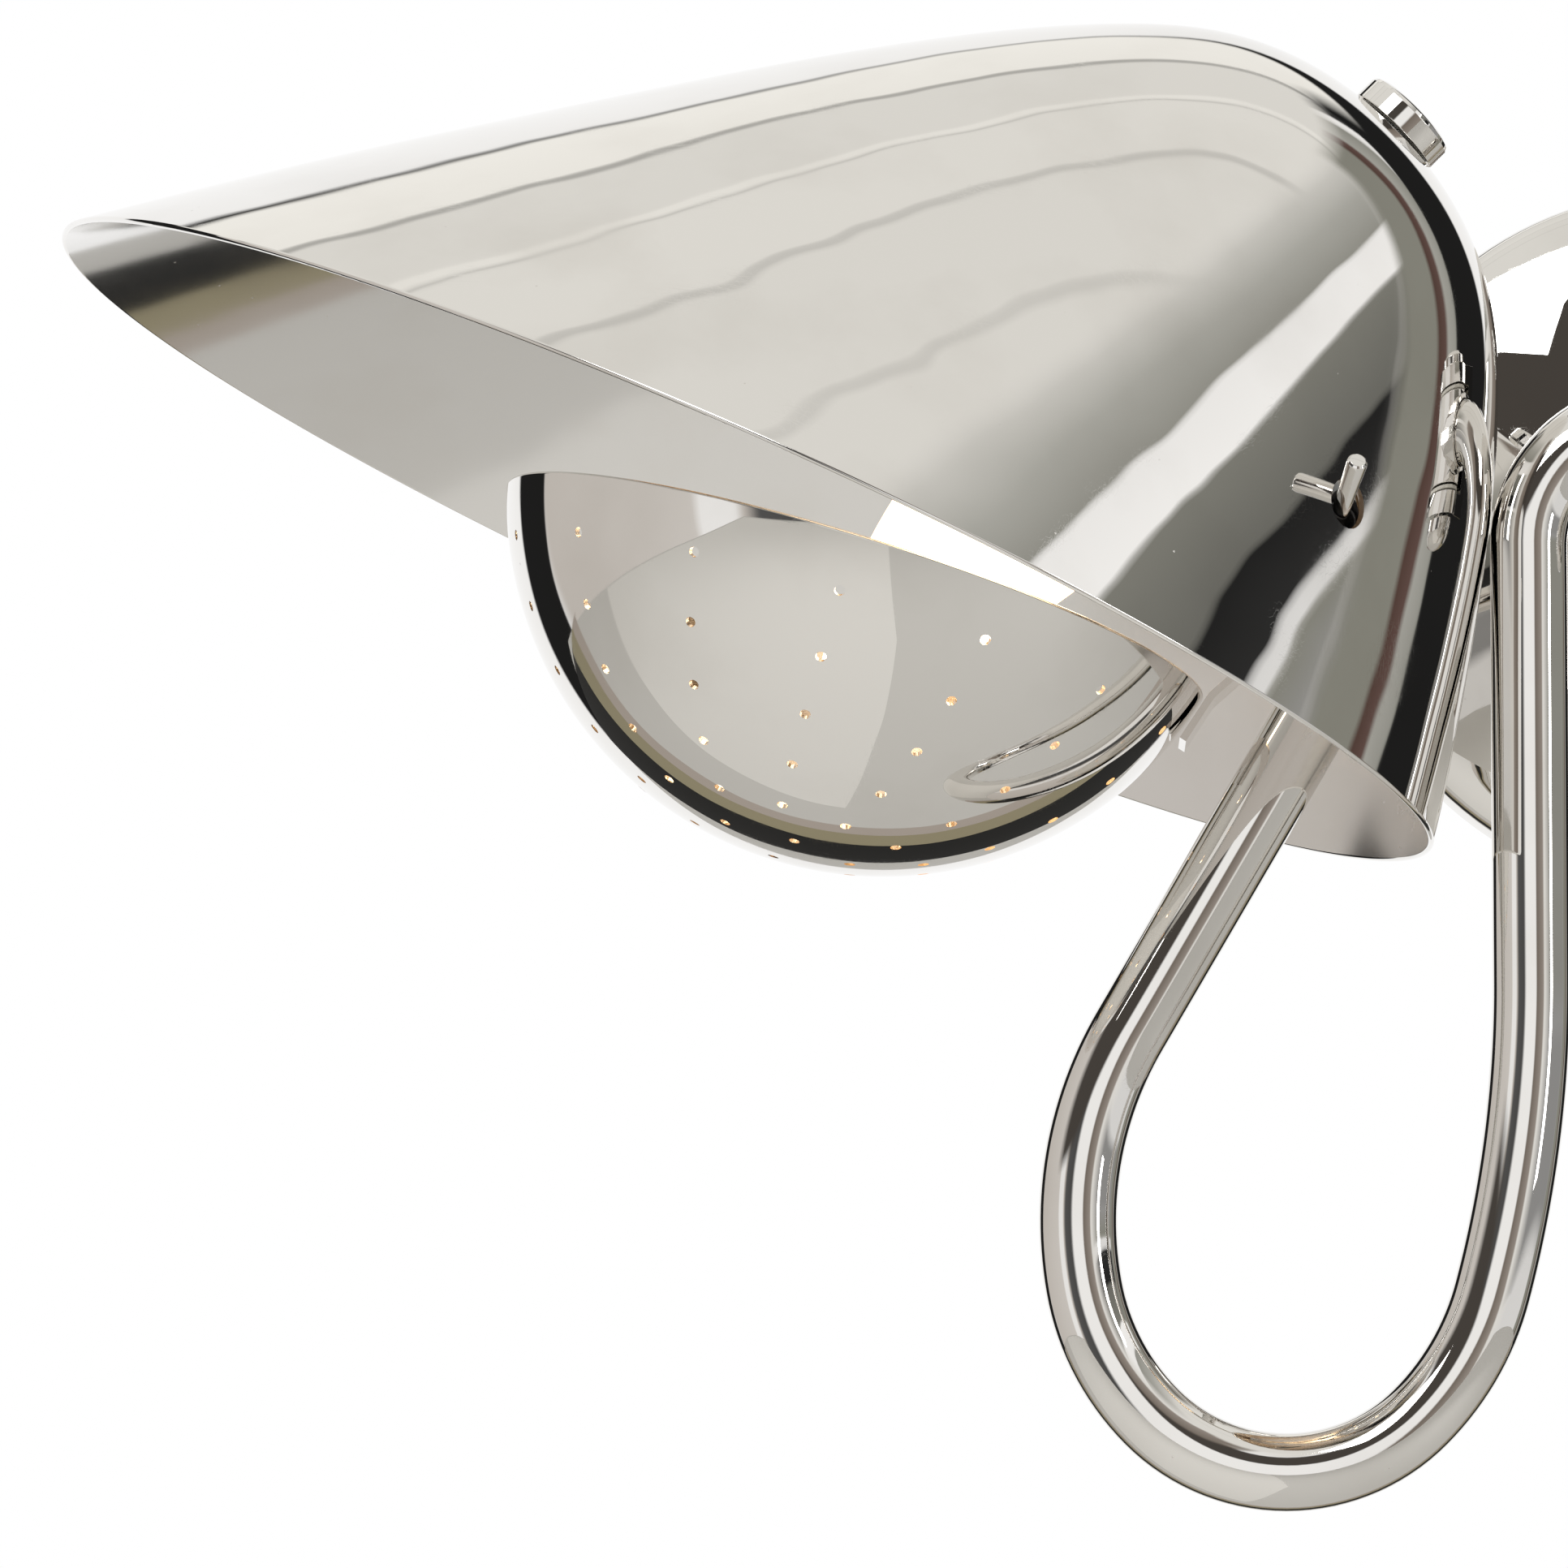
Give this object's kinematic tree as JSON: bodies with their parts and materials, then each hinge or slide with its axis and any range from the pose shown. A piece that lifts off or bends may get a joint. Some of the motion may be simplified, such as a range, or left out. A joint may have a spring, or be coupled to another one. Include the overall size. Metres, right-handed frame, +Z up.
{
  "type": "swing arm wall sconce",
  "caption": "Wall lamp whose looped tube arm swings on a wall bracket and carries an oblique metal hood, a candle bulb and a perforated bowl diffuser.",
  "frame": {"origin": "centre of the crossbar's back face, on the wall", "axes": "+Y into the wall, +Z up, +X to the right seen from the room; at rest the arm lies along -X, parallel to the wall"},
  "size_m": [0.3296, 0.2415, 0.2428],
  "materials": {
    "canopy": "polished nickel plate",
    "crossbar": "zinc-plated steel",
    "upper_canopy_stud": "zinc-plated steel",
    "lower_canopy_stud": "zinc-plated steel",
    "upper_stud_nut": "zinc-plated steel",
    "lower_stud_nut": "zinc-plated steel",
    "upper_cap_nut": "polished nickel plate",
    "lower_cap_nut": "polished nickel plate",
    "ground_screw": "green",
    "hub_nipple": "zinc-plated steel",
    "hub_lock_washer": "zinc-plated steel",
    "hub_lock_nut": "zinc-plated steel",
    "canopy_hub": "polished nickel plate",
    "hub_set_screw": "zinc-plated steel",
    "stem_tube": "polished nickel plate",
    "swivel_yoke": "polished nickel plate",
    "swivel_pin": "polished nickel plate",
    "swivel_cap_nut": "polished nickel plate",
    "upper_swivel_washer": "natural nylon",
    "lower_swivel_washer": "natural nylon",
    "swivel_barrel": "polished nickel plate",
    "arm_tube": "polished nickel plate",
    "arm_end_bush": "zinc-plated steel",
    "arm_end_nipple": "zinc-plated steel",
    "arm_end_washer": "zinc-plated steel",
    "arm_end_nut": "zinc-plated steel",
    "head_bracket": "zinc-plated steel",
    "hood": "polished nickel plate",
    "knob_washer": "natural nylon",
    "head_nipple": "zinc-plated steel",
    "hood_seat_washer": "zinc-plated steel",
    "head_lock_nut": "zinc-plated steel",
    "socket_body": "moulded phenolic",
    "socket_contact": "plain",
    "socket_screw_shell": "plain",
    "bulb_base": "plain",
    "bulb_glass": "clear, lit",
    "bulb_stem": "clear",
    "bulb_filament": "glowing",
    "perforated_bowl": "polished nickel plate",
    "bowl_strap": "polished nickel plate",
    "strap_screw": "zinc-plated steel",
    "strap_nut": "zinc-plated steel",
    "switch_collar": "zinc-plated steel",
    "switch_body": "moulded phenolic",
    "hood_knob": "polished nickel plate",
    "switch_lever": "polished nickel plate"
  },
  "bodies": {
    "wall_bracket": {"canopy": "canopy", "crossbar": "crossbar", "upper_canopy_stud": "upper_canopy_stud", "lower_canopy_stud": "lower_canopy_stud", "upper_stud_nut": "upper_stud_nut", "lower_stud_nut": "lower_stud_nut", "upper_cap_nut": "upper_cap_nut", "lower_cap_nut": "lower_cap_nut", "ground_screw": "ground_screw", "hub_nipple": "hub_nipple", "hub_lock_washer": "hub_lock_washer", "hub_lock_nut": "hub_lock_nut", "canopy_hub": "canopy_hub", "hub_set_screw": "hub_set_screw", "stem_tube": "stem_tube", "swivel_yoke": "swivel_yoke", "swivel_pin": "swivel_pin", "swivel_cap_nut": "swivel_cap_nut", "upper_swivel_washer": "upper_swivel_washer", "lower_swivel_washer": "lower_swivel_washer"},
    "arm": {"swivel_barrel": "swivel_barrel", "arm_tube": "arm_tube", "arm_end_bush": "arm_end_bush", "arm_end_nipple": "arm_end_nipple", "arm_end_washer": "arm_end_washer", "arm_end_nut": "arm_end_nut", "head_bracket": "head_bracket", "hood": "hood", "knob_washer": "knob_washer", "head_nipple": "head_nipple", "hood_seat_washer": "hood_seat_washer", "head_lock_nut": "head_lock_nut", "socket_body": "socket_body", "socket_contact": "socket_contact", "socket_screw_shell": "socket_screw_shell", "bulb_base": "bulb_base", "bulb_glass": "bulb_glass", "bulb_stem": "bulb_stem", "bulb_filament": "bulb_filament", "perforated_bowl": "perforated_bowl", "bowl_strap": "bowl_strap", "strap_screw": "strap_screw", "strap_nut": "strap_nut", "switch_collar": "switch_collar", "switch_body": "switch_body"},
    "hood_knob": {"hood_knob": "hood_knob"},
    "switch_lever": {"switch_lever": "switch_lever"}
  },
  "joints": [
    {"name": "arm_swing", "type": "hinge", "parent": "wall_bracket", "child": "arm", "pos_m": [0, -0.13, 0], "axis": [0, 0, 1], "range_deg": [0, 180]},
    {"name": "knob_turn", "type": "hinge", "parent": "arm", "child": "hood_knob", "pos_m": [-0.0534, -0.13, 0.0476], "axis": [0.7071, 0, 0.7071], "continuous": true},
    {"name": "switch_flip", "type": "hinge", "parent": "arm", "child": "switch_lever", "pos_m": [-0.06441, -0.18421, -0.0254], "axis": [0.4199, 0.5427, 0.7274], "range_deg": [0, 28]}
  ]
}
